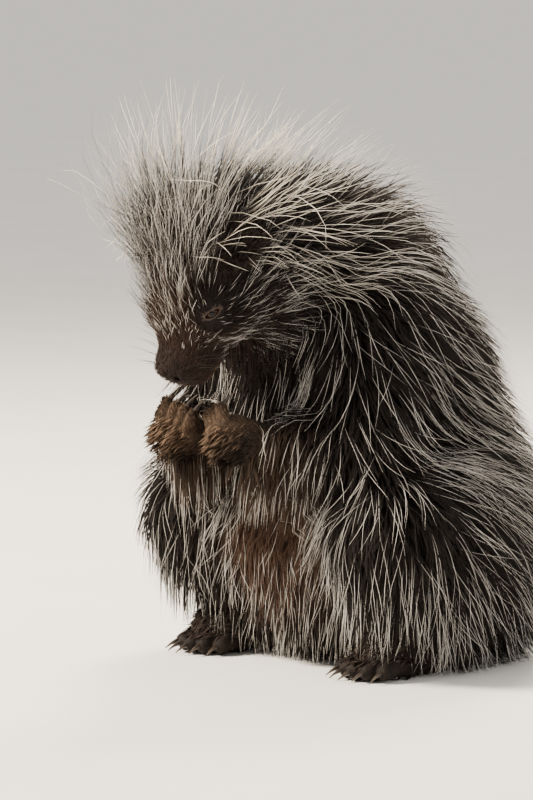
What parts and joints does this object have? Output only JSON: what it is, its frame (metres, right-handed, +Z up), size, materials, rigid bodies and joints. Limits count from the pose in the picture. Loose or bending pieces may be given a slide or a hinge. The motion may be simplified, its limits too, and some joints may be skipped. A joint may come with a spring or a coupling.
{
  "type": "sitting porcupine",
  "caption": "Life-size still model of a North American porcupine sitting up on its haunches, head bent to its raised forepaws, long coat of pale-tipped guard hair.",
  "frame": {"origin": "on the floor under the seat, midway between the haunches", "axes": "+Z up; the animal faces -Y, its left side is +X, and its tail lies towards +Y"},
  "size_m": [0.3265, 0.5803, 0.4287],
  "materials": {
    "coat": "long dark hair with pale tips",
    "paw": "short tan fur",
    "skin": "bare dark skin",
    "eye": "wet and glossy",
    "claw": "horn, worn smooth"
  },
  "bodies": {
    "root": {"torso": "coat", "neck": "coat", "head": "coat", "tail": "coat", "upper_arm_left": "coat", "upper_arm_right": "coat", "forearm_left": "coat", "forearm_right": "coat", "thigh_left": "coat", "thigh_right": "coat", "shank_left": "coat", "shank_right": "coat", "ear_left": "coat", "hand_left": "paw", "foot_left": "coat", "eye_left": "eye", "claw_hand_left_1": "claw", "claw_hand_left_2": "claw", "claw_hand_left_3": "claw", "claw_hand_left_4": "claw", "claw_foot_left_1": "claw", "claw_foot_left_2": "claw", "claw_foot_left_3": "claw", "claw_foot_left_4": "claw", "claw_foot_left_5": "claw", "ear_right": "coat", "hand_right": "paw", "foot_right": "coat", "eye_right": "eye", "claw_hand_right_1": "claw", "claw_hand_right_2": "claw", "claw_hand_right_3": "claw", "claw_hand_right_4": "claw", "claw_foot_right_1": "claw", "claw_foot_right_2": "claw", "claw_foot_right_3": "claw", "claw_foot_right_4": "claw", "claw_foot_right_5": "claw"}
  },
  "joints": []
}
